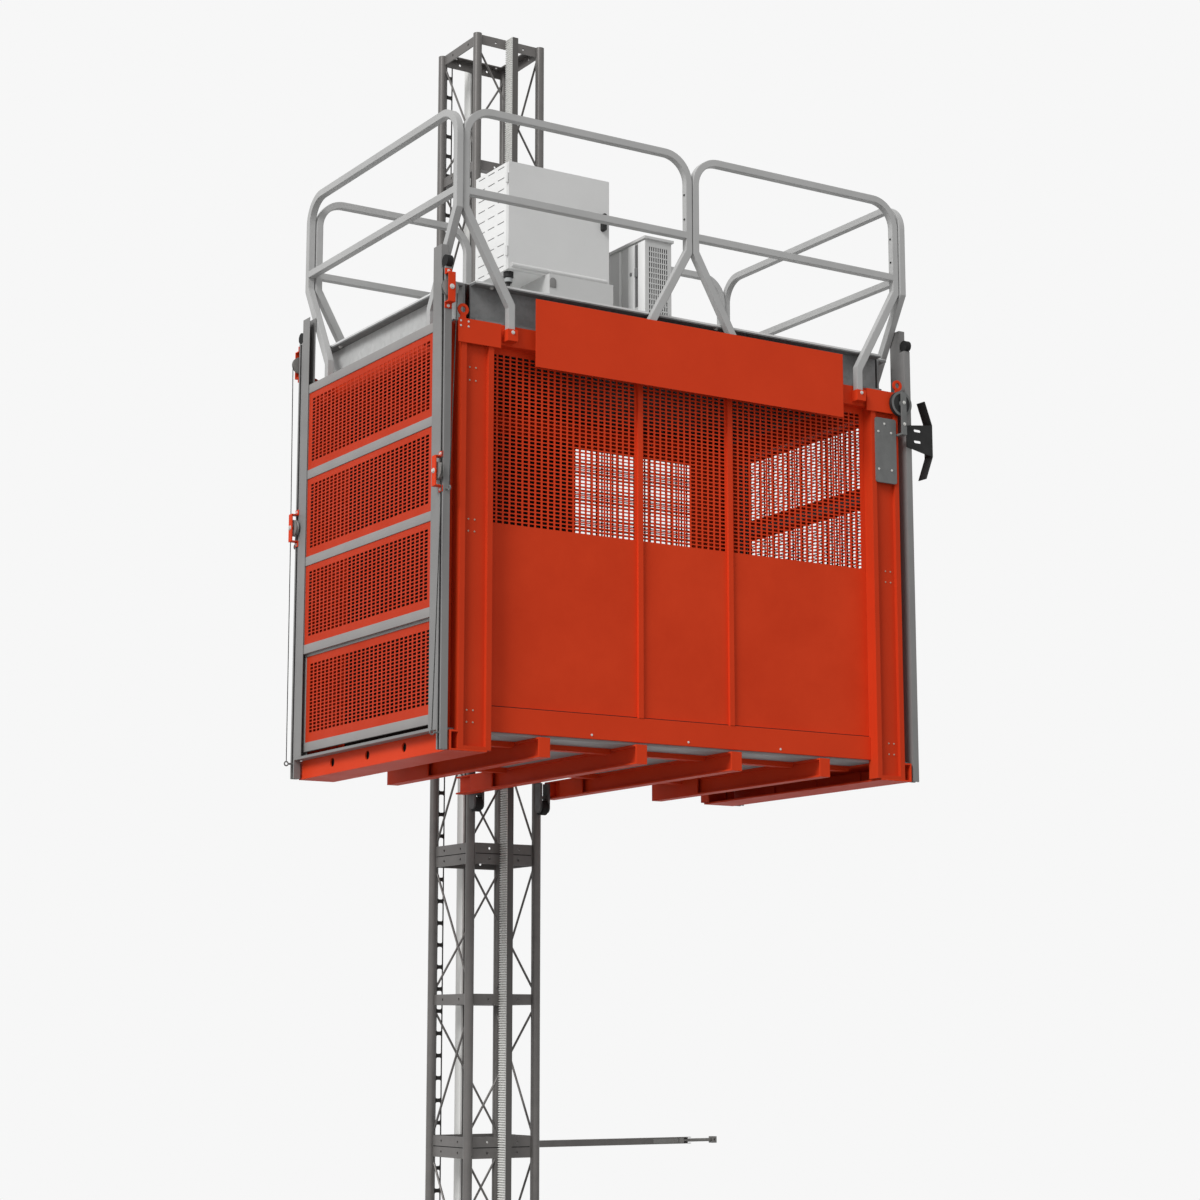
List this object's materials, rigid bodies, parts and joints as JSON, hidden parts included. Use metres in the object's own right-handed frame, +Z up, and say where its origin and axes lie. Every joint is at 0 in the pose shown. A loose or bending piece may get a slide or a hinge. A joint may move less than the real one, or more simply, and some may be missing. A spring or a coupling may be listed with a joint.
{
  "type": "material hoist",
  "caption": "Rack and pinion hoist car with perforated walls, telescopic lift gates and roof guard rails on a latticed mast of bolted sections.",
  "frame": {"origin": "centre of the mast's foot, on the plane of its lower bolted frame", "axes": "+Z up the mast, +X along the car towards its right end, -Y from the mast towards the car"},
  "size_m": [2.9313, 2.301, 7.54],
  "materials": {
    "mast_steel": "hot-dip galvanised, dull",
    "machined_steel": "machined steel, lightly oiled",
    "red_paint": "red-orange powder coat, satin",
    "galvanised": "galvanised sheet, dull",
    "floor_aluminium": "plain aluminium plate",
    "rail_aluminium": "brushed aluminium tube",
    "white_paint": "off-white powder coat, satin",
    "black_steel": "black paint, matt",
    "motor_grey": "grey machine paint",
    "rubber": "black rubber",
    "polyamide": "black polyamide",
    "rope_steel": "dark wire rope"
  },
  "bodies": {
    "mast": {"mast_section_1": "mast_steel", "mast_section_2": "mast_steel", "mast_section_3": "mast_steel", "mast_section_4": "mast_steel", "mast_section_5": "mast_steel", "racks": "machined_steel", "slotted_strip": "mast_steel", "mast_bolts": "machined_steel", "wall_tie": "mast_steel", "wall_tie_end": "machined_steel"},
    "car": {"floor_beams": "red_paint", "end_beams": "red_paint", "floor_plate": "floor_aluminium", "corner_posts": "red_paint", "head_plates": "red_paint", "wall_frame": "red_paint", "front_panels": "red_paint", "rear_panels": "red_paint", "roof_frame": "galvanised", "roof_plate": "galvanised", "sign_panel": "red_paint", "guard_rail_front": "rail_aluminium", "guard_rail_rear": "rail_aluminium", "guard_rail_left": "rail_aluminium", "guard_rail_right": "rail_aluminium", "guard_rail_clamps": "red_paint", "gate_posts": "galvanised", "rope_rails": "galvanised", "gate_sills": "rail_aluminium", "gate_buffers": "rubber", "rope_fittings": "galvanised", "sheave_straps": "red_paint", "gate_ropes": "rope_steel", "cover_plate": "galvanised", "landing_cam": "black_steel", "cabinet_body": "white_paint", "cabinet_plinth": "white_paint", "cable_gland": "polyamide", "control_box": "white_paint", "machine_frame": "galvanised", "gearbox": "galvanised", "drive_motor": "motor_grey", "safety_device": "galvanised", "guide_brackets": "motor_grey"},
    "left_gate_upper": {"left_gate_upper": "red_paint"},
    "left_gate_lower": {"left_gate_lower": "red_paint"},
    "right_gate_upper": {"right_gate_upper": "red_paint"},
    "right_gate_lower": {"right_gate_lower": "red_paint"},
    "drive_pinion": {"drive_pinion": "machined_steel"},
    "safety_pinion": {"safety_pinion": "machined_steel"},
    "counter_roller": {"counter_roller": "machined_steel"},
    "lower_guide_rollers": {"lower_guide_rollers": "polyamide"},
    "upper_guide_rollers": {"upper_guide_rollers": "polyamide"},
    "left_top_sheaves": {"left_top_sheaves": "machined_steel"},
    "left_near_sheave": {"left_near_sheave": "machined_steel"},
    "left_far_sheave": {"left_far_sheave": "machined_steel"},
    "right_top_sheaves": {"right_top_sheaves": "polyamide"},
    "cabinet_door": {"cabinet_door": "white_paint"},
    "cabinet_handle": {"cabinet_handle": "polyamide"}
  },
  "joints": [
    {"name": "car_travel", "type": "slide", "parent": "mast", "child": "car", "axis": [0, 0, 1], "range_m": [-3.1, 1.5]},
    {"name": "left_gate_lift", "type": "slide", "parent": "car", "child": "left_gate_upper", "axis": [0, 0, 1], "range_m": [0, 1.4]},
    {"name": "left_gate_lower_lift", "type": "slide", "parent": "left_gate_upper", "child": "left_gate_lower", "axis": [0, 0, 1], "range_m": [0, 0.48]},
    {"name": "right_gate_lift", "type": "slide", "parent": "car", "child": "right_gate_upper", "axis": [0, 0, 1], "range_m": [0, 1.4]},
    {"name": "right_gate_lower_lift", "type": "slide", "parent": "right_gate_upper", "child": "right_gate_lower", "axis": [0, 0, 1], "range_m": [0, 0.48]},
    {"name": "drive_pinion_turn", "type": "hinge", "parent": "car", "child": "drive_pinion", "pos_m": [-0.0585, -0.2325, 5.89377], "axis": [0, 1, 0], "continuous": true},
    {"name": "safety_pinion_turn", "type": "hinge", "parent": "car", "child": "safety_pinion", "pos_m": [-0.0585, -0.2325, 4.2978], "axis": [0, 1, 0], "continuous": true},
    {"name": "counter_roller_turn", "type": "hinge", "parent": "car", "child": "counter_roller", "pos_m": [0.0578, -0.2325, 5.89377], "axis": [0, 1, 0], "continuous": true},
    {"name": "lower_guide_roll", "type": "hinge", "parent": "car", "child": "lower_guide_rollers", "pos_m": [0, -0.26345, 3.265], "axis": [1, 0, 0], "continuous": true},
    {"name": "upper_guide_roll", "type": "hinge", "parent": "car", "child": "upper_guide_rollers", "pos_m": [0, -0.26345, 5.394], "axis": [1, 0, 0], "continuous": true},
    {"name": "left_top_sheave_turn", "type": "hinge", "parent": "car", "child": "left_top_sheaves", "pos_m": [-1.339, -1.213, 5.421], "axis": [0, 1, 0], "continuous": true},
    {"name": "left_near_sheave_turn", "type": "hinge", "parent": "car", "child": "left_near_sheave", "pos_m": [-1.37, -1.963, 4.569], "axis": [1, 0, 0], "continuous": true},
    {"name": "left_far_sheave_turn", "type": "hinge", "parent": "car", "child": "left_far_sheave", "pos_m": [-1.37, -0.463, 4.569], "axis": [1, 0, 0], "continuous": true},
    {"name": "right_top_sheave_turn", "type": "hinge", "parent": "car", "child": "right_top_sheaves", "pos_m": [1.266, -1.213, 5.233], "axis": [0, 1, 0], "continuous": true},
    {"name": "cabinet_door_swing", "type": "hinge", "parent": "car", "child": "cabinet_door", "pos_m": [-0.67, -1.354, 5.798], "axis": [0, 0, -1], "range_deg": [0, 95]},
    {"name": "cabinet_handle_turn", "type": "hinge", "parent": "cabinet_door", "child": "cabinet_handle", "pos_m": [-0.116, -1.36, 6.128], "axis": [0, 1, 0], "range_deg": [0, 90]}
  ],
  "couplings": [
    {"joint": "drive_pinion_turn", "follows": "car_travel", "rad_per_m": 24.999},
    {"joint": "safety_pinion_turn", "follows": "car_travel", "rad_per_m": 24.999},
    {"joint": "counter_roller_turn", "follows": "car_travel", "rad_per_m": -28.571},
    {"joint": "lower_guide_roll", "follows": "car_travel", "rad_per_m": -25.641},
    {"joint": "upper_guide_roll", "follows": "car_travel", "rad_per_m": -25.641},
    {"joint": "left_top_sheave_turn", "follows": "left_gate_lift", "rad_per_m": 25.126},
    {"joint": "left_near_sheave_turn", "follows": "left_gate_lift", "rad_per_m": 25.126},
    {"joint": "left_far_sheave_turn", "follows": "left_gate_lift", "rad_per_m": 25.126},
    {"joint": "right_top_sheave_turn", "follows": "right_gate_lift", "rad_per_m": 16}
  ]
}
